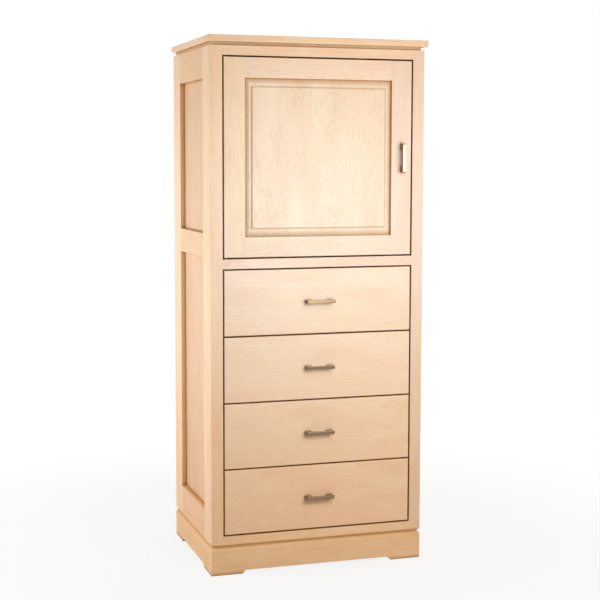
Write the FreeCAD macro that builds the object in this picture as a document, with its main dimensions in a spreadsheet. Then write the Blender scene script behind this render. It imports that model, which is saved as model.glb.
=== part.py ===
import FreeCAD, Part
import os
import re
import Sketcher

# Highboard in solid pale wood: one framed door over four drawers, on a plinth with cut-out feet.
# Millimetres, +Z up, the front looks along -Y, origin at the middle of the footprint on the floor.

doc = FreeCAD.newDocument("highboard")
dims = doc.addObject("Spreadsheet::Sheet", "dims")

# Driving dimensions. Every alias has an underscore, so ex() can tell it from a function or a number.
SIZES = {
    # top board and the set-back board under it
    "top_width": 640, "top_depth": 470, "top_thick": 18, "top_ease": 2,
    "neck_height": 9, "neck_inset": 8,
    # carcass and the V groove where it meets the plinth
    "body_width": 628, "body_depth": 456, "groove_cut": 7,
    # face frame, flush with door and drawer fronts
    "post_width": 34.5, "front_thick": 22, "head_rail": 26.5, "cross_rail": 27, "foot_rail": 30.5,
    "tenon_thick": 8, "tenon_length": 15, "tenon_shoulder": 5, "joint_slack": 0.2, "corner_ease": 2,
    # side frames with flat recessed panels
    "side_thick": 24, "side_recess": 14, "side_panel": 6, "side_groove": 8,
    "side_front": 84, "side_rear": 88, "side_top": 86, "side_mid": 68, "side_low": 93,
    # inner boards
    "board_thick": 18, "back_thick": 6, "back_lap": 8,
    "shelf_level": 1150, "shelf_setback": 12, "shelf_play": 1.5,
    "pin_dia": 5, "pin_length": 16, "pin_depth": 8, "pin_setback": 40,
    # plinth
    "plinth_height": 80, "plinth_thick": 20, "foot_rise": 10, "foot_base": 91, "foot_reach": 99,
    # door and drawer fronts in their openings
    "front_gap": 4, "front_ease": 2, "door_height": 549, "drawer_height": 183,
    "stile_width": 60, "door_rail": 56, "door_groove": 10, "lip_depth": 10.4, "tongue_thick": 7,
    "crown_run": 10, "crown_depth": 4, "quirk_depth": 4.5,
    "field_side": 22, "field_end": 26, "step_run": 4, "field_sink": 0.3,
    # pivots of the door, set in from its corner
    "pivot_inset": 5.5, "pivot_dia": 5, "pivot_hold": 24, "pivot_reach": 9, "pivot_play": 0.05,
    "bush_dia": 7.5, "bush_length": 10, "flange_dia": 10, "run_gap": 0.3,
    # drawer boxes
    "drawer_depth": 390, "drawer_side": 12, "drawer_wall": 160, "drawer_lift": 14, "box_play": 1,
    "bottom_thick": 6, "bottom_lift": 10, "bottom_groove": 5,
    "dado_depth": 8, "back_dado": 4, "back_drop": 12,
    # runners and guides
    "runner_width": 28, "runner_end": 6, "guide_height": 20, "guide_play": 0.5,
    # handles and their screws
    "handle_length": 82, "handle_width": 9.2, "handle_reach": 26, "handle_bar": 10, "handle_foot": 18,
    "handle_bend": 3, "handle_ease": 0.8,
    "bolt_dia": 4, "bolt_grip": 11, "bolt_head": 8, "bolt_cap": 2.5,
    # wood screws
    "screw_dia": 4, "screw_head": 8, "screw_length": 20, "screw_spread": 230, "screw_row": 80,
    # catch on the divider and its strike plate on the door
    "catch_width": 44, "catch_depth": 14, "catch_height": 15, "catch_inset": 40, "strike_thick": 1.2,
    "strike_width": 36,
}
for row, (alias, number) in enumerate(SIZES.items(), start=1):
    dims.set("A%d" % row, alias)
    dims.set("B%d" % row, str(number))
    dims.setAlias("B%d" % row, alias)
doc.recompute()

# Levels and lines that several pieces share, as expressions over the sheet.
FRONT = "(handle_reach - body_depth) / 2"
BACK = FRONT + " + body_depth"
LEFT = "-body_width / 2"
FLOOR = "plinth_height + foot_rail"
PITCH = "(drawer_height + front_gap)"
CROSS = FLOOR + " + 4 * " + PITCH + " + front_gap"
ROOM = CROSS + " + cross_rail"
DOOR = ROOM + " + front_gap"
HEAD = DOOR + " + door_height + front_gap"
CEILING = HEAD + " + head_rail"
BODY_HEIGHT = "(%s - plinth_height)" % CEILING
OPENING = "(body_width - 2 * post_width)"
FRONT_WIDTH = "(%s - 2 * front_gap)" % OPENING
DOOR_LEFT = "-%s / 2" % FRONT_WIDTH
INSIDE = "(body_width - 2 * side_thick)"
BACK_FACE = BACK + " - back_thick"


def ex(text):
    """Point every alias in an expression at the sheet."""
    return re.sub(r"\b[a-z]+_[a-z_]+\b", lambda m: "dims." + m.group(0), str(text))


def value(text):
    return float(dims.evalExpression(ex(text)))


def bind(thing, prop, text):
    thing.setExpression(prop, ex(text))


def place(thing, x, y, z):
    bind(thing, "Placement.Base.x", x)
    bind(thing, "Placement.Base.y", y)
    bind(thing, "Placement.Base.z", z)
    return thing


def new_body(label, x="0", y="0", z="0"):
    body = doc.addObject("PartDesign::Body", label)
    body.Label = label
    return place(body, x, y, z)


def sketch_on(body, role, offset="0"):
    """A sketch on one of the body's origin planes, moved along that plane's normal."""
    sketch = body.newObject("Sketcher::SketchObject", "sketch")
    sketch.AttachmentSupport = ([f for f in body.Origin.OriginFeatures if f.Role == role][0], [""])
    sketch.MapMode = "FlatFace"
    bind(sketch, "AttachmentOffset.Base.z", offset)
    return sketch


def tie(sketch, kind, *args):
    """Add one dimension to a sketch and bind it: the last argument is the expression."""
    index = sketch.addConstraint(Sketcher.Constraint(kind, *args[:-1], value(args[-1])))
    bind(sketch, "Constraints[%d]" % index, args[-1])


def polygon(sketch, corners):
    """Closed outline through corners given as pairs of expressions."""
    points = [FreeCAD.Vector(value(u), value(v), 0) for u, v in corners]
    count = len(points)
    for i in range(count):
        sketch.addGeometry(Part.LineSegment(points[i], points[(i + 1) % count]))
    for i, (u, v) in enumerate(corners):
        sketch.addConstraint(Sketcher.Constraint("Coincident", i, 2, (i + 1) % count, 1))
        tie(sketch, "DistanceX", -1, 1, i, 1, u)
        tie(sketch, "DistanceY", -1, 1, i, 1, v)
    return sketch


def rectangle(sketch, u, v, width, height):
    right = "%s + %s" % (u, width)
    top = "%s + %s" % (v, height)
    return polygon(sketch, [(u, v), (right, v), (right, top), (u, top)])


def circle(sketch, u, v, diameter):
    index = sketch.addGeometry(Part.Circle(FreeCAD.Vector(value(u), value(v), 0), FreeCAD.Vector(0, 0, 1),
                                           value(diameter) / 2))
    tie(sketch, "DistanceX", -1, 1, index, 3, u)
    tie(sketch, "DistanceY", -1, 1, index, 3, v)
    tie(sketch, "Diameter", index, diameter)
    return sketch


def extrude(body, kind, sketch, length, flip=False):
    feature = body.newObject("PartDesign::" + kind, kind.lower())
    feature.Profile = sketch
    bind(feature, "Length", length)
    feature.Reversed = flip
    return feature


def block(body, x, y, z, width, depth, height):
    """Add a rectangular block to a body, low corner first."""
    extrude(body, "Pad", rectangle(sketch_on(body, "XY_Plane", z), x, y, width, depth), height)


def cut(body, x, y, z, width, depth, height):
    """Take a rectangular block out of a body, low corner first."""
    sketch = sketch_on(body, "XY_Plane", "%s + %s" % (z, height))
    extrude(body, "Pocket", rectangle(sketch, x, y, width, depth), height)


def bore(body, role, offset, spots, diameter, depth, flip=False):
    """Round holes from a plane into the body, all of one depth."""
    for u, v in spots:
        extrude(body, "Pocket", circle(sketch_on(body, role, offset), u, v, diameter), depth, flip)


def board(label, x, y, z, width, depth, height):
    body = new_body(label, x, y, z)
    block(body, "0", "0", "0", width, depth, height)
    return body


def edges_at(body, **where):
    """Names of the edges of the body's last feature that lie wholly at the given coordinates."""
    doc.recompute()
    names = []
    for number, edge in enumerate(body.Tip.Shape.Edges, start=1):
        box = edge.BoundBox
        span = {"x": (box.XMin, box.XMax), "y": (box.YMin, box.YMax), "z": (box.ZMin, box.ZMax)}
        if all(abs(end - value(at)) < 0.01 for axis, at in where.items() for end in span[axis]):
            names.append("Edge%d" % number)
    return names


def dress(body, kind, names):
    """Add a fillet or chamfer on the named edges of the body's last feature."""
    base = body.Tip
    feature = body.newObject("PartDesign::" + kind, kind.lower())
    feature.Base = (base, names)
    return feature


def ease(body, names, radius):
    """Round the named edges."""
    bind(dress(body, "Fillet", sorted(set(names))), "Radius", radius)
    doc.recompute()


def bevel(body, names, size):
    """Chamfer the named edges at 45 degrees."""
    bind(dress(body, "Chamfer", names), "Size", size)
    doc.recompute()


def mirrored(label, source):
    """The right-hand copy of a left-hand piece."""
    mirror = doc.addObject("Part::Mirroring", label)
    mirror.Label = label
    mirror.Source = source
    mirror.Normal = FreeCAD.Vector(1, 0, 0)
    return mirror


def group(label, members):
    """One node of several separate solids."""
    compound = doc.addObject("Part::Compound", label)
    compound.Label = label
    compound.Links = members
    return compound


def copy_of(source, x, y, z, rotation=None):
    """The same piece again at another place."""
    link = doc.addObject("App::Link", source.Label + "_copy")
    link.LinkedObject = source
    if rotation is not None:
        link.Placement = FreeCAD.Placement(FreeCAD.Vector(), rotation)
    return place(link, x, y, z)


TURN_X = FreeCAD.Rotation(FreeCAD.Vector(1, 0, 0), 90)
TURN_Y = FreeCAD.Rotation(FreeCAD.Vector(0, 1, 0), 90)
FLIP_X = FreeCAD.Rotation(FreeCAD.Vector(1, 0, 0), 180)
nodes = []

# Wood screw with a countersunk head, standing on its head with the point up.
screw = new_body("screw_blank")
outline = polygon(sketch_on(screw, "XZ_Plane"), [
    ("0", "0"), ("screw_head / 2", "0"), ("screw_dia / 2", "(screw_head - screw_dia) / 2"),
    ("screw_dia / 2", "screw_length - screw_dia"), ("0", "screw_length")])
turned = screw.newObject("PartDesign::Revolution", "turned")
turned.Profile = outline
turned.ReferenceAxis = (outline, ["V_Axis"])
SCREW_COLUMNS = ["-screw_spread", "0", "screw_spread"]
SCREW_ROWS = ["screw_row", "body_depth - screw_row"]
BACK_LEVELS = [FLOOR + " - board_thick / 2", ROOM + " - board_thick / 2"]


def screw_seats(body, role, offset, spots, depth, **face):
    """Through holes with countersinks on one face for the wood screws."""
    bore(body, role, offset, spots, "screw_dia", depth, True)
    rims = [name for name in edges_at(body, **face) if body.Tip.Shape.getElement(name).isClosed()]
    bevel(body, rims, "(screw_head - screw_dia) / 2")


# Top board, edges eased all round, with blind pilot holes from below.
top = board("top_board", "-top_width / 2", BACK + " - top_depth", CEILING + " + neck_height",
            "top_width", "top_depth", "top_thick")
ease(top, edges_at(top, z="0") + edges_at(top, z="top_thick") + edges_at(top, y="0"), "top_ease")
bore(top, "XY_Plane", "0", [("top_width / 2 + " + u, "top_depth - body_depth + " + v)
                            for u in SCREW_COLUMNS for v in SCREW_ROWS],
     "screw_dia", "screw_length - neck_height + joint_slack", True)
nodes.append(top)

# Sub-top, set back on three sides: it makes the shadow gap under the top board.
sub_top = board("sub_top", LEFT + " + neck_inset", FRONT + " + neck_inset", CEILING,
                "body_width - 2 * neck_inset", "body_depth - neck_inset", "neck_height")
screw_seats(sub_top, "XY_Plane", "0", [("body_width / 2 - neck_inset + " + u, v + " - neck_inset")
                                       for u in SCREW_COLUMNS for v in SCREW_ROWS], "neck_height", z="0")
nodes.append(sub_top)

# Face frame: two posts with mortises, three rails with stub tenons.
RAILS = [("face_rail_bottom", "plinth_height", "foot_rail"), ("face_rail_mid", CROSS, "cross_rail"),
         ("face_rail_top", HEAD, "head_rail")]
TENON_Y = "(front_thick - tenon_thick) / 2"
post = board("face_stile_left", LEFT, FRONT, "plinth_height", "post_width", "front_thick", BODY_HEIGHT)
for name, level, height in RAILS:
    cut(post, "post_width - tenon_length - joint_slack", TENON_Y, level + " - plinth_height + tenon_shoulder",
        "tenon_length + joint_slack", "tenon_thick", height + " - 2 * tenon_shoulder")
bevel(post, edges_at(post, y="0", z="0"), "groove_cut")
bevel(post, edges_at(post, x="0", z="0"), "groove_cut")
ease(post, edges_at(post, x="0", y="0"), "corner_ease")
nodes += [post, mirrored("face_stile_right", post)]
for name, level, height in RAILS:
    rail = board(name, LEFT + " + post_width", FRONT, level, OPENING, "front_thick", height)
    block(rail, "-tenon_length", TENON_Y, "tenon_shoulder", OPENING + " + 2 * tenon_length", "tenon_thick",
          height + " - 2 * tenon_shoulder")
    if name == "face_rail_bottom":
        bevel(rail, edges_at(rail, y="0", z="0"), "groove_cut")
    else:
        side = height if name == "face_rail_mid" else "0"
        bore(rail, "XY_Plane", side, [("front_gap + pivot_inset", "pivot_inset")], "bush_dia", "bush_length",
             name == "face_rail_top")
    nodes.append(rail)

# Side frames: stiles and rails grooved for two flat panels, made for the left and mirrored.
SIDE_RUN = "(body_depth - side_front - side_rear)"
TONGUE = "(side_groove - joint_slack)"
SIDE_HEAD = CEILING + " - side_top"
SIDE_RAILS = [("plinth_height", "side_low"), (ROOM, "side_mid"), (SIDE_HEAD, "side_top")]
PIN_LEVEL = "shelf_level - pin_dia"
PIN_HOLE = PIN_LEVEL + " + pin_dia / 2 - plinth_height"
front_stile = board("side_front_stile", LEFT, FRONT + " + front_thick", "plinth_height",
                    "side_thick", "side_front - front_thick", BODY_HEIGHT)
cut(front_stile, "side_recess", "side_front - front_thick - side_groove", "0",
    "side_panel", "side_groove", BODY_HEIGHT)
bore(front_stile, "YZ_Plane", "side_thick", [("pin_setback", PIN_HOLE)], "pin_dia", "pin_depth")
rear_stile = board("side_rear_stile", LEFT, BACK + " - side_rear", "plinth_height",
                   "side_thick", "side_rear", BODY_HEIGHT)
cut(rear_stile, "side_recess", "0", "0", "side_panel", "side_groove", BODY_HEIGHT)
cut(rear_stile, "side_thick - back_lap", "side_rear - back_thick", "0", "back_lap", "back_thick", BODY_HEIGHT)
bore(rear_stile, "YZ_Plane", "side_thick", [("side_rear - pin_setback", PIN_HOLE)], "pin_dia", "pin_depth")
for stile in (front_stile, rear_stile):
    bevel(stile, edges_at(stile, x="0", z="0"), "groove_cut")
side_rails = []
for level, height in SIDE_RAILS:
    rail = board("side_rail", LEFT, FRONT + " + side_front", level, "side_thick", SIDE_RUN, height)
    block(rail, "side_recess", "-" + TONGUE, "0", "side_panel", SIDE_RUN + " + 2 * " + TONGUE, height)
    grooves = []
    if height != "side_low":
        grooves.append("0")
    if height != "side_top":
        grooves.append(height + " - side_groove")
    for groove in grooves:
        cut(rail, "side_recess", "-side_groove", groove,
            "side_panel", SIDE_RUN + " + 2 * side_groove", "side_groove")
    if height == "side_low":
        bevel(rail, edges_at(rail, x="0", z="0"), "groove_cut")
    side_rails.append(rail)
side_panels = [
    board("side_panel", LEFT + " + side_recess", FRONT + " + side_front - " + TONGUE, low + " - " + TONGUE,
          "side_panel", SIDE_RUN + " + 2 * " + TONGUE, "%s - (%s) + 2 * %s" % (high, low, TONGUE))
    for low, high in (("plinth_height + side_low", ROOM), (ROOM + " + side_mid", SIDE_HEAD))]
for name, members in (("stiles", [front_stile, rear_stile]), ("rails", side_rails), ("panels", side_panels)):
    left = group("side_left_" + name, members)
    nodes += [left, mirrored("side_right_" + name, left)]

# Back panel in the rebates of the rear stiles, floor and divider between the side frames.
back = board("back_panel", LEFT + " + side_thick - back_lap", BACK_FACE, "plinth_height",
             INSIDE + " + 2 * back_lap", "back_thick", BODY_HEIGHT)
screw_seats(back, "XZ_Plane", "-back_thick",
            [("body_width / 2 - side_thick + back_lap + " + u, v + " - plinth_height")
             for u in SCREW_COLUMNS for v in BACK_LEVELS], "back_thick", y="back_thick")
nodes.append(back)
for name, level in (("floor_panel", FLOOR), ("divider_panel", ROOM)):
    panel = board(name, LEFT + " + side_thick", FRONT + " + front_thick", level + " - board_thick",
                  INSIDE, "body_depth - front_thick - back_thick", "board_thick")
    bore(panel, "XZ_Plane", "front_thick + back_thick - body_depth",
         [(INSIDE + " / 2 + " + u, "board_thick / 2") for u in SCREW_COLUMNS],
         "screw_dia", "screw_length - back_thick + joint_slack", True)
    nodes.append(panel)

# Loose shelf on four pins.
shelf = board("shelf", LEFT + " + side_thick + shelf_play", FRONT + " + front_thick + shelf_setback",
              "shelf_level", INSIDE + " - 2 * shelf_play",
              "body_depth - front_thick - back_thick - 2 * shelf_setback", "board_thick")
ease(shelf, edges_at(shelf, y="0", z="0") + edges_at(shelf, y="0", z="board_thick"), "front_ease")
nodes.append(shelf)
pins = []
for side, start in (("-1", "pin_depth"), ("1", "pin_length - pin_depth")):
    for y in (FRONT + " + front_thick + pin_setback", BACK + " - pin_setback"):
        pin = doc.addObject("Part::Cylinder", "pin")
        bind(pin, "Radius", "pin_dia / 2")
        bind(pin, "Height", "pin_length")
        pin.Placement = FreeCAD.Placement(FreeCAD.Vector(), TURN_Y)
        pins.append(place(pin, "%s * %s / 2 - %s" % (side, INSIDE, start), y, PIN_LEVEL + " + pin_dia / 2"))
nodes.append(group("shelf_pins", pins))

# Runners under each drawer, the top pair a kicker under the divider, and guides beside the drawer boxes.
RUNNER_HEIGHT = "(front_gap + drawer_lift)"
STRIP_LENGTH = "body_depth - front_thick - back_thick - runner_end"
GUIDE_WIDTH = "post_width + front_gap + box_play - guide_play - side_thick"
runner = doc.addObject("Part::Box", "runner_blank")
guide = doc.addObject("Part::Box", "guide_blank")
for strip, width, height in ((runner, "runner_width", RUNNER_HEIGHT), (guide, GUIDE_WIDTH, "guide_height")):
    bind(strip, "Length", width)
    bind(strip, "Width", STRIP_LENGTH)
    bind(strip, "Height", height)
STRIP_X = LEFT + " + side_thick"
STRIP_Y = FRONT + " + front_thick + run_gap"
RUNNER_LEVELS = ["%s + %d * %s" % (FLOOR, k, PITCH) for k in range(4)]
KICKER_LEVEL = ROOM + " - board_thick - " + RUNNER_HEIGHT
runners = [copy_of(runner, STRIP_X, STRIP_Y, level) for level in RUNNER_LEVELS + [KICKER_LEVEL]]
guides = [copy_of(guide, STRIP_X, STRIP_Y, level + " + " + RUNNER_HEIGHT) for level in RUNNER_LEVELS]
for name, left in (("drawer_runners", runners), ("drawer_guides", guides)):
    half = group(name + "_left", left)
    nodes.append(group(name, [half, mirrored(name + "_right", half)]))

# Plinth boards with feet cut into the lower edge and the lower half of the V groove on top.
def plinth_board(label, x, y, length, along_x, lead):
    body = new_body(label, x, y)
    inner = [("foot_base - " + lead, "0"), ("foot_reach - " + lead, "foot_rise"),
             (length + " - foot_reach", "foot_rise"), (length + " - foot_base", "0")]
    corners = [("0", "0")] + inner + [(length, "0"), (length, "plinth_height"), ("0", "plinth_height")]
    sketch = polygon(sketch_on(body, "XZ_Plane" if along_x else "YZ_Plane"), corners)
    extrude(body, "Pad", sketch, "plinth_thick", along_x)
    return body


front_plinth = plinth_board("plinth_front", LEFT, FRONT, "body_width", True, "0")
bevel(front_plinth, edges_at(front_plinth, y="0", z="plinth_height"), "groove_cut")
for end in ("0", "body_width"):
    bevel(front_plinth, edges_at(front_plinth, x=end, z="plinth_height"), "groove_cut")
ease(front_plinth, edges_at(front_plinth, x="0", y="0") + edges_at(front_plinth, x="body_width", y="0"),
     "corner_ease")
side_plinth = plinth_board("plinth_left", LEFT, FRONT + " + plinth_thick", "body_depth - plinth_thick", False,
                           "plinth_thick")
bevel(side_plinth, edges_at(side_plinth, x="0", z="plinth_height"), "groove_cut")
back_plinth = board("plinth_back", LEFT + " + plinth_thick", BACK + " - plinth_thick", "foot_rise",
                    "body_width - 2 * plinth_thick", "plinth_thick", "plinth_height - foot_rise")
nodes += [front_plinth, side_plinth, mirrored("plinth_right", side_plinth), back_plinth]

# All wood screws: up through the sub-top, and through the back panel.
screws = [copy_of(screw, u, FRONT + " + " + v, CEILING) for u in SCREW_COLUMNS for v in SCREW_ROWS]
screws += [copy_of(screw, u, BACK, v, TURN_X) for u in SCREW_COLUMNS for v in BACK_LEVELS]
nodes.append(group("carcass_screws", screws))

# Magnetic catch on the divider, behind the free edge of the door.
catch = board("door_catch", "-(%s) - catch_inset - catch_width" % DOOR_LEFT,
              FRONT + " + front_thick + strike_thick + run_gap", ROOM,
              "catch_width", "catch_depth", "catch_height")
ease(catch, edges_at(catch, z="catch_height"), "front_ease")
nodes.append(catch)

# Flanged bushes for the door pivots, in the cross rail and upside down in the head rail.
bush = new_body("bush_blank")
outline = polygon(sketch_on(bush, "XZ_Plane"), [
    ("pivot_dia / 2 + pivot_play", "-bush_length"), ("bush_dia / 2", "-bush_length"), ("bush_dia / 2", "0"),
    ("flange_dia / 2", "0"), ("flange_dia / 2", "front_gap - run_gap"),
    ("pivot_dia / 2 + pivot_play", "front_gap - run_gap")])
turned = bush.newObject("PartDesign::Revolution", "turned")
turned.Profile = outline
turned.ReferenceAxis = (outline, ["V_Axis"])
PIVOT_X = DOOR_LEFT + " + pivot_inset"
PIVOT_Y = FRONT + " + pivot_inset"
nodes.append(group("pivot_bushes", [copy_of(bush, PIVOT_X, PIVOT_Y, ROOM),
                                    copy_of(bush, PIVOT_X, PIVOT_Y, HEAD, FLIP_X)]))

# Bar handle lying along X with its feet on the plane Y = 0 and the bar towards -Y.
BOLT_REACH = "(handle_length - handle_foot) / 2"


def handle(label, x, z, upright=False):
    body = new_body(label)
    end = "handle_length / 2"
    foot = "(handle_length / 2 - handle_foot)"
    grip = "handle_bar - handle_reach"
    outline = polygon(sketch_on(body, "XY_Plane", "-handle_width / 2"), [
        ("-" + end, "0"), ("-" + end, "-handle_reach"), (end, "-handle_reach"), (end, "0"),
        (foot, "0"), (foot, grip), ("-" + foot, grip), ("-" + foot, "0")])
    extrude(body, "Pad", outline, "handle_width")
    corners = [("-" + end, "-handle_reach"), (end, "-handle_reach"), ("-" + foot, grip), (foot, grip)]
    ease(body, [name for u, v in corners for name in edges_at(body, x=u, y=v)], "handle_bend")
    ease(body, edges_at(body, z="-handle_width / 2") + edges_at(body, z="handle_width / 2"), "handle_ease")
    bore(body, "XZ_Plane", "0", [(BOLT_REACH, "0"), ("-" + BOLT_REACH, "0")],
         "bolt_dia", "bolt_grip + joint_slack", True)
    if upright:
        body.Placement = FreeCAD.Placement(FreeCAD.Vector(), TURN_Y)
    return place(body, x, FRONT, z)


# Machine screw for the handles, its head on the back of the front, pointing towards -Y.
bolt = new_body("bolt_blank")
outline = polygon(sketch_on(bolt, "XZ_Plane"), [
    ("0", "-front_thick - bolt_grip"), ("bolt_dia / 2", "-front_thick - bolt_grip"), ("bolt_dia / 2", "0"),
    ("bolt_head / 2", "0"), ("bolt_head / 2", "bolt_cap"), ("0", "bolt_cap")])
turned = bolt.newObject("PartDesign::Revolution", "turned")
turned.Profile = outline
turned.ReferenceAxis = (outline, ["V_Axis"])
BOLT_TURN = FreeCAD.Rotation(FreeCAD.Vector(1, 0, 0), -90)

# Door frame: stiles grooved along the inner edge, rails with tongues, pivot holes in the hinge stile.
RAIL_RUN = "(%s - 2 * stile_width)" % FRONT_WIDTH
DOOR_TONGUE = "(door_groove - joint_slack)"
stile_left = board("door_stile_left", DOOR_LEFT, FRONT, DOOR, "stile_width", "front_thick", "door_height")
stile_right = board("door_stile_right", "-(%s) - stile_width" % DOOR_LEFT, FRONT, DOOR,
                    "stile_width", "front_thick", "door_height")
for stile, groove, outer in ((stile_left, "stile_width - door_groove", "0"),
                             (stile_right, "0", "stile_width")):
    cut(stile, groove, "lip_depth", "0", "door_groove", "tongue_thick", "door_height")
    ease(stile, edges_at(stile, x=outer, y="0") + edges_at(stile, y="0", z="0")
         + edges_at(stile, y="0", z="door_height"), "front_ease")
PIVOT_SPOT = [("pivot_inset", "pivot_inset")]
bore(stile_left, "XY_Plane", "0", PIVOT_SPOT, "pivot_dia", "pivot_hold", True)
bore(stile_left, "XY_Plane", "door_height", PIVOT_SPOT, "pivot_dia", "pivot_hold")
HANDLE_X = "-(%s) - stile_width / 2" % DOOR_LEFT
HANDLE_Z = DOOR + " + door_height / 2"
bore(stile_right, "XZ_Plane", "0", [("stile_width / 2", "door_height / 2 + " + BOLT_REACH),
                                    ("stile_width / 2", "door_height / 2 - " + BOLT_REACH)],
     "bolt_dia", "front_thick")
nodes += [stile_left, stile_right]
for name, level, groove, outer in (
        ("door_rail_top", DOOR + " + door_height - door_rail", "0", "door_rail"),
        ("door_rail_bottom", DOOR, "door_rail - door_groove", "0")):
    rail = board(name, DOOR_LEFT + " + stile_width", FRONT, level, RAIL_RUN, "front_thick", "door_rail")
    block(rail, "-" + DOOR_TONGUE, "lip_depth", "0",
          RAIL_RUN + " + 2 * " + DOOR_TONGUE, "tongue_thick", "door_rail")
    cut(rail, "-door_groove", "lip_depth", groove,
        RAIL_RUN + " + 2 * door_groove", "tongue_thick", "door_groove")
    ease(rail, edges_at(rail, y="0", z=outer), "front_ease")
    nodes.append(rail)

# Raised panel: tongue slab, straight bevel that rises from the frame to a round crown, quirk, steep step,
# flat field.
panel = new_body("door_panel", DOOR_LEFT + " + stile_width", FRONT, DOOR + " + door_rail")
PANEL_RISE = "(door_height - 2 * door_rail)"
MOUTH_DEPTH = "(lip_depth + joint_slack)"
CROWN_END = "(field_end - step_run) * crown_run / (field_side - step_run)"


def panel_outline(depth, side, end):
    sketch = sketch_on(panel, "XZ_Plane", "-(%s)" % depth)
    return rectangle(sketch, side, end,
                     "%s - 2 * (%s)" % (RAIL_RUN, side), "%s - 2 * (%s)" % (PANEL_RISE, end))


slab = panel_outline("lip_depth + tongue_thick", "-" + DOOR_TONGUE, "-" + DOOR_TONGUE)
extrude(panel, "Pad", slab, "tongue_thick - joint_slack")
mouth = panel_outline(MOUTH_DEPTH, "joint_slack", "joint_slack")
slope = panel_outline("(%s + crown_depth) / 2" % MOUTH_DEPTH, "(joint_slack + crown_run) / 2",
                      "(joint_slack + %s) / 2" % CROWN_END)
crown = panel_outline("crown_depth", "crown_run", CROWN_END)
quirk = panel_outline("quirk_depth", "field_side - step_run", "field_end - step_run")
field = panel_outline("field_sink", "field_side", "field_end")
for low, higher, ruled in ((mouth, [slope, crown, quirk], False), (quirk, [field], True)):
    loft = panel.newObject("PartDesign::AdditiveLoft", "loft")
    loft.Profile = low
    loft.Sections = higher
    loft.Ruled = ruled
nodes.append(panel)

# Door handle with its screws, pivot pins and the strike plate of the catch.
nodes.append(handle("door_handle", HANDLE_X, HANDLE_Z, True))
nodes.append(group("door_handle_screws", [
    copy_of(bolt, HANDLE_X, FRONT + " + front_thick", HANDLE_Z + sign + BOLT_REACH, BOLT_TURN)
    for sign in (" + ", " - ")]))
pivots = []
for level in (ROOM + " - pivot_reach + run_gap", HEAD + " - front_gap - pivot_hold"):
    pivot = doc.addObject("Part::Cylinder", "pivot")
    bind(pivot, "Radius", "pivot_dia / 2")
    bind(pivot, "Height", "pivot_hold + front_gap + pivot_reach - run_gap")
    pivots.append(place(pivot, PIVOT_X, PIVOT_Y, level))
nodes.append(group("door_pivots", pivots))
strike = board("door_strike", "-(%s) - catch_inset - (catch_width + strike_width) / 2" % DOOR_LEFT,
               FRONT + " + front_thick", DOOR + " + run_gap", "strike_width", "strike_thick",
               "catch_height - front_gap")
nodes.append(strike)

# Four like drawers, counted from the top.
BOX_LEFT = "(post_width + front_gap + box_play)"
BOX_WIDTH = "(body_width - 2 * %s)" % BOX_LEFT
WALL_FOOT = "(drawer_lift + run_gap)"
BOTTOM_FOOT = "(%s + bottom_lift)" % WALL_FOOT
BACK_Y = "(front_thick + drawer_depth - 2 * drawer_side)"
for number in range(1, 5):
    name = "drawer_%d_" % number
    base = "%s + front_gap + %d * %s" % (FLOOR, 4 - number, PITCH)
    front = board(name + "front", DOOR_LEFT, FRONT, base, FRONT_WIDTH, "front_thick", "drawer_height")
    for x in ("box_play", "%s - box_play - drawer_side" % FRONT_WIDTH):
        cut(front, x, "front_thick - dado_depth", WALL_FOOT, "drawer_side", "dado_depth",
            "drawer_wall + joint_slack")
    cut(front, "box_play + drawer_side", "front_thick - bottom_groove", BOTTOM_FOOT,
        BOX_WIDTH + " - 2 * drawer_side", "bottom_groove", "bottom_thick + joint_slack")
    bore(front, "XZ_Plane", "0", [(FRONT_WIDTH + " / 2" + sign + BOLT_REACH, "drawer_height / 2")
                                  for sign in (" + ", " - ")], "bolt_dia", "front_thick")
    ease(front, edges_at(front, y="0"), "front_ease")
    wall = board(name + "side", LEFT + " + " + BOX_LEFT, FRONT + " + front_thick - dado_depth + joint_slack",
                 base + " + " + WALL_FOOT,
                 "drawer_side", "drawer_depth + dado_depth - joint_slack", "drawer_wall")
    cut(wall, "drawer_side - bottom_groove", "0", "bottom_lift", "bottom_groove",
        "drawer_depth + dado_depth", "bottom_thick + joint_slack")
    cut(wall, "drawer_side - back_dado", BACK_Y + " - front_thick + dado_depth - joint_slack", "bottom_lift",
        "back_dado", "drawer_side", "drawer_wall - bottom_lift")
    rear = board(name + "back", LEFT + " + %s + drawer_side - back_dado" % BOX_LEFT, FRONT + " + " + BACK_Y,
                 base + " + %s + bottom_thick + joint_slack" % BOTTOM_FOOT,
                 BOX_WIDTH + " - 2 * drawer_side + 2 * back_dado", "drawer_side",
                 "drawer_wall - bottom_lift - bottom_thick - back_drop")
    bottom = board(name + "bottom", LEFT + " + %s + drawer_side - bottom_groove + joint_slack" % BOX_LEFT,
                   FRONT + " + front_thick - bottom_groove + joint_slack", base + " + " + BOTTOM_FOOT,
                   BOX_WIDTH + " - 2 * (drawer_side - bottom_groove + joint_slack)",
                   BACK_Y + " + drawer_side - front_thick + bottom_groove - joint_slack", "bottom_thick")
    grip = handle(name + "handle", "0", base + " + drawer_height / 2")
    bolts = [copy_of(bolt, sign + BOLT_REACH, FRONT + " + front_thick", base + " + drawer_height / 2",
                     BOLT_TURN) for sign in ("-", "")]
    nodes += [front, group(name + "sides", [wall, mirrored(name + "side_right", wall)]), rear, bottom, grip,
              group(name + "screws", bolts)]

# Check and write every node.
doc.recompute()
for thing in doc.Objects:
    if "Invalid" in thing.State or "Error" in thing.State:
        raise RuntimeError("%s does not recompute" % thing.Label)
os.makedirs("parts", exist_ok=True)
for node in nodes:
    if node.Shape.isNull() or not node.Shape.isValid():
        raise RuntimeError("%s has no valid shape" % node.Label)
    node.Shape.exportStep("parts/%s.step" % node.Label)
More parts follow.
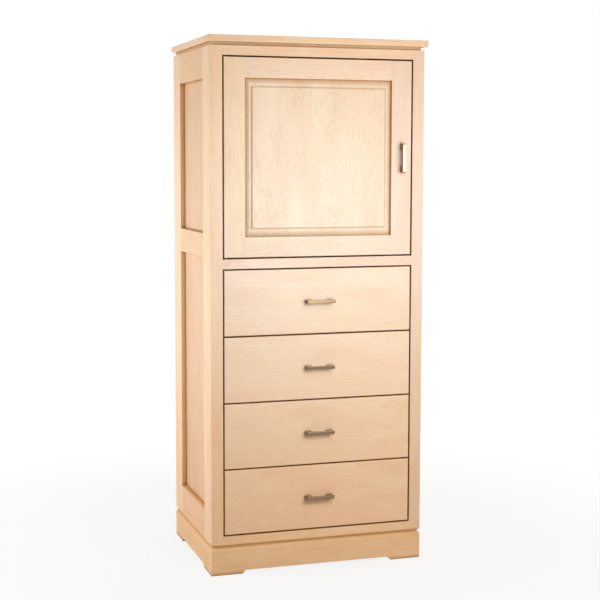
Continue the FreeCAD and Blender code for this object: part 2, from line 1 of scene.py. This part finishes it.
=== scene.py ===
import math

import bpy
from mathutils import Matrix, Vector


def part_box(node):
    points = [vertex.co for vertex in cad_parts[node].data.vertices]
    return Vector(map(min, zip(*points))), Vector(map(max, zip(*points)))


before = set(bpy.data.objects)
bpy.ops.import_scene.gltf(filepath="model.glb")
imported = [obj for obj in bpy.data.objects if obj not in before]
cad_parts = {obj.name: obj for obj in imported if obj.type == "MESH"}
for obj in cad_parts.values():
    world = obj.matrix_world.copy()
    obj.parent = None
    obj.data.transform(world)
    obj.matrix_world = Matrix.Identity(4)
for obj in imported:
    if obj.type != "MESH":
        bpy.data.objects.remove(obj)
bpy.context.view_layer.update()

# Side frames, left and right: two upright stiles and three rails of solid oak round two flat panels.
# Stiles and rails are glued at their tongues; the panels lie loose in grooves, set back from the face.
# All the wood outside was planed, brushed along the grain, bleached and lacquered satin.
MM = 0.001


def linear(colour):
    """Linear RGBA of an sRGB hex colour."""
    parts = [int(colour[i:i + 2], 16) / 255 for i in (1, 3, 5)]
    return [c / 12.92 if c <= 0.04045 else ((c + 0.055) / 1.055) ** 2.4 for c in parts] + [1]


def add(tree, kind, sockets=None, **settings):
    """One shader node: settings are its properties, sockets its inputs, each a value or an output to link.

    A colour mix has its share in socket 0, its two colours in 6 and 7, and its result at output 2.
    """
    node = tree.nodes.new("ShaderNode" + kind)
    for key, value in settings.items():
        setattr(node, key, value)
    for key, value in (sockets or {}).items():
        if isinstance(value, bpy.types.NodeSocket):
            tree.links.new(value, node.inputs[key])
        else:
            node.inputs[key].default_value = value
    return node


def new_material(name):
    """An empty node material and its tree."""
    material = bpy.data.materials.new(name)
    material.use_nodes = True
    material.node_tree.nodes.clear()
    return material, material.node_tree


def dress(material, *names):
    """Give CAD nodes this finish in all their material slots."""
    for name in names:
        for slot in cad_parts[name].material_slots:
            slot.material = material


# The grain is solid. These turns, in degrees, lay the axis of the tree along the way that a board's fibres
# run. The board leans a little to that axis, which draws the rings out into arches.
LEAN = 1.5
GRAIN_TURN = {"upright": (LEAN, 0, 0), "across": (LEAN, -90, 0), "deep": (90, LEAN, 0)}
RING_WIDTH = 4.5 * MM
RING_WANDER = 14 * MM
WAVE_TURN = 2 * math.pi / 20  # a wave texture turns 20 radians in each unit of length
CLOUD_ACROSS = 60 * MM
CLOUD_ALONG = 260 * MM

# Oak pores are 0.3 mm wide and the fibres finer still. Both are drawn several times too wide here,
# because at their real width no pixel would show them. Their lengths are real: a pore is 14 to 32 mm long,
# and a streak of fibres two and a half times that.
PORE_WIDTH = 1.9 * MM
FIBRE_WIDTH = 2.6 * MM
FIBRE_TO_PORE = 2.5
PORE_BROWN = "#b38556"
LATE_WOOD_LOSS = 0.7  # share of the pores that the late wood of a ring lacks

# How far clouds, rings and fibres each take the ground from pale to tan, and a start that centres the sum.
CLOUD_SHIFT = 1.2
RING_SHIFT = 0.25
FIBRE_SHIFT = 0.9
TONE_START = -0.7

# Painted shade: the wood is left palest at mid height, level with the key lamp, and farther off, in metres,
# it takes a warmer, darker tint, as the light falls off.
BRIGHTEST_HEIGHT = 0.95
FALLOFF_STARTS = 0.1
FALLOFF_FULL = 0.8
FALLOFF_SHADE_TINT = "#ffefdc"

# Arrises are made a little paler, partly as wear and partly as a painted highlight. Painted shade darkens
# recesses olive-brown and the depths of gaps amber, by how much open space there is within 12 mm of a spot.
ARRIS_RADIUS = 1.0 * MM
ARRIS_WEAR_AND_HIGHLIGHT = 0.25
RUBBED_PALE_HIGHLIGHT = "#fff0dd"
CREVICE_REACH = 12 * MM
RECESS_SHADE_OLIVE = "#8f7b46"
GAP_SHADE_AMBER = "#cc8420"
GAP_SHADE_FULL = 0.25  # share of open space at which nothing but the painted amber shade shows
GAP_SHADE_CURVE = 1.2

# Brushing takes the soft wood out of the pores, and the satin lacquer lies duller there.
PORE_DULLING = 0.2
BRUSHED_RELIEF = 0.4 * MM


def bleached_oak(name, grain, heart, pale, tan, pore=0.25, dash=18, shade=0.4, recess_shade=0.7):
    """Solid oak: a pale ground with faint growth rings, fine fibre streaks and short darker pores.

    grain is the way the fibres run, and heart a point on the axis of the tree that the board was sawn from,
    in metres. pale and tan are the ends of the ground's tone. pore is how strongly the pores show, and dash
    their length in mm. shade is the share of open space about a spot below which painted amber shade starts
    there, and the last argument how strongly painted olive-brown shade darkens it beside gaps and in
    recesses.
    """
    material, tree = new_material(name)
    place = add(tree, "TexCoord").outputs["Object"]
    from_heart = add(tree, "VectorMath", {0: place, 1: heart}, operation="SUBTRACT").outputs[0]
    turn = [math.radians(angle) for angle in GRAIN_TURN[grain]]
    wood = add(tree, "Mapping", {"Vector": from_heart, "Rotation": turn}).outputs[0]

    def streaks(across, along, detail):
        """Noise drawn out along the grain, one patch as wide and as long as given."""
        scale = (1 / across, 1 / across, 1 / along)
        drawn_out = add(tree, "Mapping", {"Vector": wood, "Scale": scale}).outputs[0]
        return add(tree, "TexNoise", {"Vector": drawn_out, "Scale": 1.0, "Detail": detail,
                                      "Roughness": 0.6})

    # The rings wander by a slow noise, and the pores stand in the early wood of each ring.
    slow = streaks(2 * CLOUD_ACROSS, 2 * CLOUD_ALONG, 1).outputs["Color"]
    wander = add(tree, "VectorMath", {0: slow, 1: (0.5, 0.5, 0.5)}, operation="SUBTRACT").outputs[0]
    reach = (2 * RING_WANDER, 2 * RING_WANDER, 0)
    bent = add(tree, "VectorMath", {0: wander, 1: reach, 2: wood}, operation="MULTIPLY_ADD").outputs[0]
    rings = add(tree, "TexWave", {"Vector": bent, "Scale": WAVE_TURN / RING_WIDTH, "Distortion": 0.0},
                wave_type="RINGS", rings_direction="Z", wave_profile="SAW").outputs["Fac"]
    fibre = streaks(FIBRE_WIDTH, FIBRE_TO_PORE * dash * MM, 2).outputs["Fac"]
    cloud = streaks(CLOUD_ACROSS, CLOUD_ALONG, 2).outputs["Fac"]
    dashes = streaks(PORE_WIDTH, dash * MM, 2).outputs["Fac"]
    pores = add(tree, "MapRange", {"Value": dashes, "From Min": 0.54, "From Max": 0.72}).outputs[0]
    porous = add(tree, "Math", {0: rings, 1: -LATE_WOOD_LOSS, 2: 1.0}, operation="MULTIPLY_ADD").outputs[0]
    pores = add(tree, "Math", {0: pores, 1: porous}, operation="MULTIPLY").outputs[0]

    # Ground colour between pale and tan: clouds first, rings and fibres over them, pores darkest.
    tone = add(tree, "Math", {0: cloud, 1: CLOUD_SHIFT, 2: TONE_START}, operation="MULTIPLY_ADD").outputs[0]
    tone = add(tree, "Math", {0: rings, 1: RING_SHIFT, 2: tone}, operation="MULTIPLY_ADD").outputs[0]
    tone = add(tree, "Math", {0: fibre, 1: FIBRE_SHIFT, 2: tone}, operation="MULTIPLY_ADD",
               use_clamp=True).outputs[0]
    ground = add(tree, "Mix", {0: tone, 6: linear(pale), 7: linear(tan)}, data_type="RGBA").outputs[2]
    depth = add(tree, "Math", {0: pores, 1: pore}, operation="MULTIPLY").outputs[0]
    grained = add(tree, "Mix", {0: depth, 6: ground, 7: linear(PORE_BROWN)}, data_type="RGBA").outputs[2]

    # Painted shade: the warmer, darker tint toward the floor and the top.
    height = add(tree, "SeparateXYZ", {0: place}).outputs["Z"]
    above = add(tree, "Math", {0: height, 1: BRIGHTEST_HEIGHT}, operation="SUBTRACT").outputs[0]
    off = add(tree, "Math", {0: above}, operation="ABSOLUTE").outputs[0]
    painted_falloff = add(tree, "MapRange", {"Value": off, "From Min": FALLOFF_STARTS,
                                    "From Max": FALLOFF_FULL}).outputs[0]
    falloff_shaded = add(tree, "Mix", {0: painted_falloff, 6: grained, 7: linear(FALLOFF_SHADE_TINT)}, data_type="RGBA",
                 blend_type="MULTIPLY").outputs[2]

    # An arris is where the rounded normal leaves the true one; recesses and gaps have little open space.
    rounded = add(tree, "Bevel", {"Radius": ARRIS_RADIUS}, samples=4).outputs[0]
    true_normal = add(tree, "NewGeometry").outputs["Normal"]
    facing = add(tree, "VectorMath", {0: rounded, 1: true_normal}, operation="DOT_PRODUCT").outputs["Value"]
    arris = add(tree, "MapRange", {"Value": facing, "From Min": 0.99, "From Max": 0.85}).outputs[0]
    # Arrises are painted paler: partly wear, partly a painted highlight where the rounded edges catch the
    # light.
    worn_and_highlit = add(tree, "Math", {0: arris, 1: ARRIS_WEAR_AND_HIGHLIGHT}, operation="MULTIPLY").outputs[0]
    rubbed_and_highlit = add(tree, "Mix", {0: worn_and_highlit, 6: falloff_shaded, 7: linear(RUBBED_PALE_HIGHLIGHT)}, data_type="RGBA").outputs[2]
    open_sky = add(tree, "AmbientOcclusion", {"Distance": CREVICE_REACH}, samples=8).outputs["AO"]
    # Painted shade, amber, deep in the gaps and tightest corners.
    shut_in = add(tree, "MapRange", {"Value": open_sky, "From Min": shade,
                                     "From Max": GAP_SHADE_FULL}).outputs[0]
    gap_shade_mask = add(tree, "Math", {0: shut_in, 1: GAP_SHADE_CURVE}, operation="POWER").outputs[0]
    # Painted shade, olive-brown, beside gaps and in recesses where little open space is.
    recess_shade_mask = add(tree, "MapRange", {"Value": open_sky, "From Min": 0.9, "From Max": 0.4,
                                    "To Max": recess_shade}).outputs[0]
    recess_shaded = add(tree, "Mix", {0: recess_shade_mask, 6: rubbed_and_highlit, 7: linear(RECESS_SHADE_OLIVE)}, data_type="RGBA").outputs[2]
    colour = add(tree, "Mix", {0: gap_shade_mask, 6: recess_shaded, 7: linear(GAP_SHADE_AMBER)}, data_type="RGBA").outputs[2]

    # Satin lacquer: glossier on the pale wood, duller where it sinks into the pores, none in the gaps.
    rough = add(tree, "MapRange", {"Value": tone, "To Min": 0.38, "To Max": 0.48}).outputs[0]
    rough = add(tree, "Math", {0: pores, 1: PORE_DULLING, 2: rough}, operation="MULTIPLY_ADD").outputs[0]
    rough = add(tree, "Math", {0: rough, 1: gap_shade_mask}, operation="MAXIMUM").outputs[0]
    relief = add(tree, "Math", {0: pores, 1: -1.0, 2: fibre}, operation="MULTIPLY_ADD").outputs[0]
    bump = add(tree, "Bump", {"Height": relief, "Normal": rounded, "Strength": 0.12,
                              "Distance": BRUSHED_RELIEF}).outputs[0]
    gloss = add(tree, "MapRange", {"Value": open_sky, "From Min": 0.55, "From Max": 0.95,
                                   "To Max": 0.5}).outputs[0]
    shader = add(tree, "BsdfPrincipled", {"Base Color": colour, "Roughness": rough, "Normal": bump,
                                          "IOR": 1.5, "Specular IOR Level": gloss})
    add(tree, "OutputMaterial", {0: shader.outputs[0]})
    return material


# Fibres run up the stiles and panels and back along the rails, so each takes the light differently.
dress(bleached_oak("bleached_oak_side_stiles", "upright", (-0.1, 0.05, 0.7), "#fadebd", "#efc79e",
                   dash=32), "side_left_stiles", "side_right_stiles")
dress(bleached_oak("bleached_oak_side_rails", "deep", (-0.1, 0.0, 0.6), "#eecda8", "#e3b98d"),
      "side_left_rails", "side_right_rails")
dress(bleached_oak("bleached_oak_side_panels", "upright", (-0.2, 0.03, 0.7), "#e9c8a7", "#ddb48c",
                   dash=28), "side_left_panels", "side_right_panels")

# Face frame: two posts and three rails of the same oak, stub-tenoned and glued to the side frames.
# Its face is flush with the door and the drawers, which close inside it with a narrow gap all round.
# Sawn near the heart, the posts show straight grain, and the rails fine level lines.
# The right post has a whiter, cooler tone than the left: a painted sheen for the light from the right.
POST_TONES_AND_SHEEN = {"left": ("#fadebf", "#efc7a0"), "right": ("#f1dac5", "#e6c5a7")}
for side, (pale, tan) in POST_TONES_AND_SHEEN.items():
    dress(bleached_oak("bleached_oak_%s_post" % side, "upright", (0.05, -0.12, 0.7), pale, tan,
                       pore=0.15, dash=32), "face_stile_" + side)
RAIL_TONES = {"top": ("#f9e3c9", "#ecc8a4"), "mid": ("#f6dec8", "#e9c5a7"),
              "bottom": ("#fde4c4", "#f0c8a1")}
for level, (pale, tan) in RAIL_TONES.items():
    dress(bleached_oak("bleached_oak_%s_rail" % level, "across", (0.0, -0.13, 0.9), pale, tan, dash=28),
          "face_rail_" + level)

# Floor, divider and back: boards between the side frames and a thin sheet in their rebates.
# Oak too, lacquered but not bleached, so a shade browner than the outside.
dress(bleached_oak("lacquered_oak_boards", "across", (0.0, 0.0, 0.5), "#f2d3ae", "#e5bb90"),
      "floor_panel", "divider_panel")
dress(bleached_oak("lacquered_oak_back_sheet", "upright", (0.1, 0.15, 0.5), "#efcfa8", "#e2b88c", dash=28),
      "back_panel")

# Runners and guides: planed beech strips, glued to the side frames, that carry and steer the drawers.
# Beech has pores too small to see, so it looks even and a little pinker than the oak.
dress(bleached_oak("planed_beech_strips", "deep", (0.2, 0.0, 0.3), "#ecc9a0", "#dcae80", pore=0.08),
      "drawer_runners", "drawer_guides")

# Plinth: four oak boards on edge, mitred to a V groove under the carcass, feet sawn into the lower edge.
# They were left a shade warmer than the front, and painted shade reaches wider on them, over the V groove
# under the carcass and the edge near the floor.
dress(bleached_oak("bleached_oak_plinth", "across", (0.1, -0.13, 0.0), "#fbdfbd", "#eec599",
                   dash=28, shade=0.9), "plinth_front", "plinth_back")
dress(bleached_oak("bleached_oak_plinth_sides", "deep", (-0.2, 0.0, 0.0), "#f7d4a4", "#eabb84",
                   dash=28, shade=0.9), "plinth_left", "plinth_right")

# Top board and the set-back board under it: oak, grain along the front, screwed together from below.
# The step between them throws the dark line under the top.
dress(bleached_oak("bleached_oak_top", "across", (0.0, 0.02, 1.4), "#fae1c0", "#edc79f",
                   dash=28, shade=0.3, recess_shade=0.3), "top_board")
# The neck has a paler tone than the top: painted light against the shade under the top's overhang.
dress(bleached_oak("bleached_oak_neck", "across", (0.0, 0.02, 1.3), "#fcead3", "#eed0af",
                   shade=0.3, recess_shade=0.3), "sub_top")

# Wood screws, shelf pins and the door's pivot pins: small turned and rolled parts of zinc-plated steel.
# The plating is thin and bright, a cool grey. Its faint tool marks are drawn 2.5 mm apart to show.
PATINA_AND_SHADE_BROWN = "#3a2410"
SMOOTHER = 0.06
ROUGHER = 0.10


def brushed_metal(name, colour, shade, rough, lines, patina_and_shade=0.0):
    """Metal with brush lines, lines their size in mm along X, Y and Z; the last argument darkens its inner
    corners, partly as tarnish and partly as painted shade.
    """
    material, tree = new_material(name)
    place = add(tree, "TexCoord").outputs["Object"]
    scale = [1 / (size * MM) for size in lines]
    drawn_out = add(tree, "Mapping", {"Vector": place, "Scale": scale}).outputs[0]
    brush = add(tree, "TexNoise", {"Vector": drawn_out, "Scale": 1.0, "Detail": 2.0}).outputs["Fac"]
    tint = add(tree, "Mix", {0: brush, 6: linear(colour), 7: linear(shade)}, data_type="RGBA").outputs[2]
    open_sky = add(tree, "AmbientOcclusion", {"Distance": CREVICE_REACH}, samples=8).outputs["AO"]
    # Painted shade, with some tarnish: the metal darkens where little open space surrounds it.
    corner = add(tree, "MapRange", {"Value": open_sky, "From Min": 0.85, "From Max": 0.35,
                                    "To Max": patina_and_shade}).outputs[0]
    aged_and_shaded = add(tree, "Mix", {0: corner, 6: tint, 7: linear(PATINA_AND_SHADE_BROWN)}, data_type="RGBA").outputs[2]
    roughness = add(tree, "MapRange", {"Value": brush, "To Min": rough - SMOOTHER,
                                       "To Max": rough + ROUGHER}).outputs[0]
    bump = add(tree, "Bump", {"Height": brush, "Strength": 0.08, "Distance": 0.1 * MM}).outputs[0]
    shader = add(tree, "BsdfPrincipled", {"Base Color": aged_and_shaded, "Metallic": 1.0, "Roughness": roughness,
                                          "Normal": bump})
    add(tree, "OutputMaterial", {0: shader.outputs[0]})
    return material


zinc_plated_steel = brushed_metal("zinc_plated_steel", "#c3c6ca", "#a3a5a8", 0.35, (2.5, 2.5, 2.5))
dress(zinc_plated_steel, "carcass_screws", "shelf_pins", "door_pivots")

# Shelf: one loose oak board on the four pins, its front edges rounded.
# Lacquered and not bleached, as the inside of the carcass is.
dress(bleached_oak("lacquered_oak_shelf", "across", (0.05, 0.02, 1.0), "#f2d3ae", "#e5bb90"), "shelf")

# Pivot bushes: flanged brass sleeves pressed into the head rail and the cross rail, where the door turns.
# Turned brass, long since tarnished brown in the gap. The tool's fine rings are drawn 1 mm apart to show.
dress(brushed_metal("tarnished_turned_brass", "#6e5028", "#543a1a", 0.45, (2.5, 2.5, 1.0), patina_and_shade=0.9),
      "pivot_bushes")

# Door: two stiles and two rails, grooved for a raised panel that can swell and shrink in them.
# The panel was cut with a straight bevel, a round crown, a quirk and a steep step round its flat field.
# It is flat-sawn, so short dark pores crowd in arches in its middle.
# The right stile has a whiter, cooler tone than the left: a painted sheen for the light from the right.
DOOR_STILE_TONES_AND_SHEEN = {"left": ("#f9e4c9", "#efcea7"), "right": ("#f2dfcd", "#e8cbb0")}
for side, (pale, tan) in DOOR_STILE_TONES_AND_SHEEN.items():
    dress(bleached_oak("bleached_oak_door_stile_" + side, "upright", (0.02, -0.12, 1.2), pale, tan,
                       dash=32, recess_shade=0.4), "door_stile_" + side)
DOOR_RAIL_TONES = {"top": ("#fae6d2", "#f0d0b2"), "bottom": ("#f6e2cd", "#eccdb0")}
for level, (pale, tan) in DOOR_RAIL_TONES.items():
    dress(bleached_oak("bleached_oak_door_rail_" + level, "across", (0.0, -0.12, 1.15), pale, tan,
                       pore=0.4, dash=20, shade=0.3, recess_shade=0.1), "door_rail_" + level)
dress(bleached_oak("bleached_oak_door_panel", "upright", (0.03, -0.11, 1.2), "#f5e3cb", "#eaccab",
                   pore=0.5, dash=15, shade=0.3, recess_shade=0.35), "door_panel")

# Drawer fronts: one wide oak board each, grooved at the back for the box.
# Each comes from another place in the log, its heart a step farther left and higher than the last one's,
# so the level lines and the tone differ a little from front to front.
DRAWERS = range(1, 5)
FRONT_TONES = [("#f8e3cc", "#eecfad"), ("#f9e3cb", "#efcfae"),
               ("#fae2c7", "#eeccaa"), ("#fbe2c6", "#efcaa8")]
HEART_START = 0.15
HEART_DEPTH = -0.11
STEP_LEFT = 0.08
STEP_UP = 0.02
for number, (pale, tan) in zip(DRAWERS, FRONT_TONES):
    low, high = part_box("drawer_%d_front" % number)
    middle = (low.z + high.z) / 2
    heart = (HEART_START - STEP_LEFT * number, HEART_DEPTH, middle + STEP_UP * number)
    dress(bleached_oak("bleached_oak_front_%d" % number, "across", heart, pale, tan, dash=14, recess_shade=0.3),
          "drawer_%d_front" % number)

# Drawer boxes: two sides dadoed into the front, a back between them and a thin bottom in grooves.
# Lacquered oak, planed thin and not bleached, so warmer than the fronts.
oak_box_sides = bleached_oak("lacquered_oak_box_sides", "deep", (0.1, 0.0, 0.4), "#f1d2ab", "#e3b98c")
oak_box_backs = bleached_oak("lacquered_oak_box_backs", "across", (0.0, 0.1, 0.4), "#f1d2ab", "#e3b98c")
oak_box_bottoms = bleached_oak("lacquered_oak_box_bottoms", "across", (0.0, 0.0, 0.3), "#f3d7b2", "#e6bf94")
for number in DRAWERS:
    dress(oak_box_sides, "drawer_%d_sides" % number)
    dress(oak_box_backs, "drawer_%d_back" % number)
    dress(oak_box_bottoms, "drawer_%d_bottom" % number)

# Handles: five straight bars with turned-back feet, cast in zinc, brushed lengthwise, plated bronze-nickel.
# Each is held by two machine screws of plated steel from behind.
# The brushing, finer than a hair, is drawn 0.8 mm wide to show; it stretches the highlights along the bar.
# The handles' feet and inner faces are darkened, mostly painted shade where the bar stands close to the
# wood.
BRONZE = ("#907b64", "#806a50", 0.16)
dress(brushed_metal("brushed_bronze_nickel_drawer_handles", *BRONZE, (16, 0.8, 0.8), patina_and_shade=0.8),
      *["drawer_%d_handle" % number for number in DRAWERS])
dress(brushed_metal("brushed_bronze_nickel_door_handle", *BRONZE, (0.8, 0.8, 16), patina_and_shade=0.8),
      "door_handle")
dress(zinc_plated_steel, "door_handle_screws", *["drawer_%d_screws" % number for number in DRAWERS])

# Magnetic catch on the divider and its strike on the door: a moulded shell of brown ABS and a steel plate.
# The mould was spark-eroded, which leaves an even matt grit on the plastic, drawn 0.6 mm across to show.
GRIT = 0.6 * MM
brown_abs, tree = new_material("moulded_brown_abs")
place = add(tree, "TexCoord").outputs["Object"]
grit = add(tree, "TexNoise", {"Vector": place, "Scale": 1 / GRIT, "Detail": 2.0}).outputs["Fac"]
tint = add(tree, "Mix", {0: grit, 6: linear("#6b5138"), 7: linear("#5d4630")}, data_type="RGBA").outputs[2]
roughness = add(tree, "MapRange", {"Value": grit, "To Min": 0.42, "To Max": 0.6}).outputs[0]
bump = add(tree, "Bump", {"Height": grit, "Strength": 0.15, "Distance": 0.1 * MM}).outputs[0]
shader = add(tree, "BsdfPrincipled", {"Base Color": tint, "Roughness": roughness, "Normal": bump})
add(tree, "OutputMaterial", {0: shader.outputs[0]})
dress(brown_abs, "door_catch")
dress(zinc_plated_steel, "door_strike")

# Studio floor: one sheet of pale painted board under the object, so wide that its edge is out of sight.
# To the camera it glows white from two steps away, and near the object it lets the shadow show.
FLOOR_SIDE = 30.0
SHADOW_FLOOR = 0.55
WHITE_FLOOR = 1.6
GLOW_NEAR = 0.86


def seen(tree):
    """1 for rays that come from the camera, a mirror or a pane, 0 for those that carry light."""
    path = add(tree, "LightPath").outputs
    shown = path["Is Camera Ray"]
    for ray in ("Is Glossy Ray", "Is Transmission Ray"):
        shown = add(tree, "Math", {0: shown, 1: path[ray]}, operation="MAXIMUM").outputs[0]
    return shown


floor_mesh = bpy.data.meshes.new("studio_floor")
half = FLOOR_SIDE / 2
corners = [(-half, -half, 0), (half, -half, 0), (half, half, 0), (-half, half, 0)]
floor_mesh.from_pydata(corners, [], [(0, 1, 2, 3)])
floor = bpy.data.objects.new("studio_floor", floor_mesh)
bpy.context.scene.collection.objects.link(floor)
white_paint, tree = new_material("white_studio_paint")
matt = add(tree, "BsdfDiffuse", {"Color": linear("#ccc8c2")}).outputs[0]
glow = add(tree, "Emission", {"Color": linear("#ffffff"), "Strength": 1.0}).outputs[0]
place = add(tree, "TexCoord").outputs["Object"]
away = add(tree, "VectorMath", {0: place}, operation="LENGTH").outputs["Value"]
share = add(tree, "MapRange", {"Value": away, "From Min": SHADOW_FLOOR, "From Max": WHITE_FLOOR,
                               "To Min": GLOW_NEAR, "To Max": 1.0},
            interpolation_type="SMOOTHSTEP").outputs[0]
share = add(tree, "Math", {0: seen(tree), 1: share}, operation="MULTIPLY").outputs[0]
add(tree, "OutputMaterial", {0: add(tree, "MixShader", {0: share, 1: matt, 2: glow}).outputs[0]})
floor_mesh.materials.append(white_paint)

# Surroundings: white walls to the camera, a dim even light to the object.
# They fill the shadows that the lamps leave.
DIM_WALLS = 0.15
world = bpy.data.worlds.new("studio")
world.use_nodes = True
world.node_tree.nodes.clear()
bpy.context.scene.world = world
tree = world.node_tree
strength = add(tree, "MapRange", {"Value": seen(tree), "To Min": DIM_WALLS, "To Max": 1.0}).outputs[0]
walls = add(tree, "Background", {"Color": linear("#ffffff"), "Strength": strength})
add(tree, "OutputWorld", {0: walls.outputs[0]})


# Lamps: flat softboxes. The key is close to the front, level with the foot of the door, and the others
# stand round the object. The left one is behind the front, so the front's left-facing edges stay dark.
def lamp(name, place, aim, size, power):
    """A flat softbox, size its width and height, turned to face a point."""
    data = bpy.data.lights.new(name, "AREA")
    data.shape = "RECTANGLE"
    data.size, data.size_y = size
    data.energy = power
    obj = bpy.data.objects.new(name, data)
    obj.location = place
    obj.rotation_euler = (Vector(aim) - Vector(place)).to_track_quat("-Z", "Y").to_euler()
    obj.visible_camera = False
    bpy.context.scene.collection.objects.link(obj)


lamp("key", (0.2, -1.4, 0.98), (0.05, -0.2, 0.92), (0.5, 0.6), 9.2)
lamp("front_right", (0.77, -1.5, 1.15), (0.2, -0.2, 1.0), (0.3, 0.3), 3.2)
lamp("front_top", (0.1, -2.2, 2.3), (0.0, -0.2, 0.9), (0.8, 0.8), 9.0)
lamp("fill_left", (-1.5, 0.1, 0.87), (-0.3, 0.0, 0.85), (0.9, 0.9), 15.2)
lamp("fill_right", (1.9, 0.35, 1.05), (0.3, 0.0, 0.95), (0.9, 0.9), 15.0)
lamp("fill_back", (0.3, 2.2, 1.1), (0.0, 0.2, 0.9), (1.2, 1.2), 22.0)
lamp("overhead", (0.0, 0.0, 3.2), (0.0, 0.0, 0.0), (2.0, 2.0), 9.0)

# Camera at the photograph's place: left of the front, level with the door's handle, tilted a little down.
# Its place, angles and focal length were fitted to the corners of the object in the photograph.
CAMERA_PLACE = (-1.1926, -3.7850, 1.1701)
CAMERA_YAW = 17.643
CAMERA_TILT = 5.233
CAMERA_ROLL = 0.133
FOCAL_PIXELS = 1342.2
PHOTO_SIDE = 600
SENSOR_WIDTH = 36.0
FRAME_SHIFT = -0.033
camera_data = bpy.data.cameras.new("camera")
camera_data.sensor_width = SENSOR_WIDTH
camera_data.lens = SENSOR_WIDTH * FOCAL_PIXELS / PHOTO_SIDE
camera_data.shift_y = FRAME_SHIFT
camera = bpy.data.objects.new("camera", camera_data)
camera.location = CAMERA_PLACE
camera.rotation_euler = [math.radians(a) for a in (90 - CAMERA_TILT, -CAMERA_ROLL, -CAMERA_YAW)]
bpy.context.scene.collection.objects.link(camera)
bpy.context.scene.camera = camera
bpy.context.scene.view_settings.view_transform = "Standard"
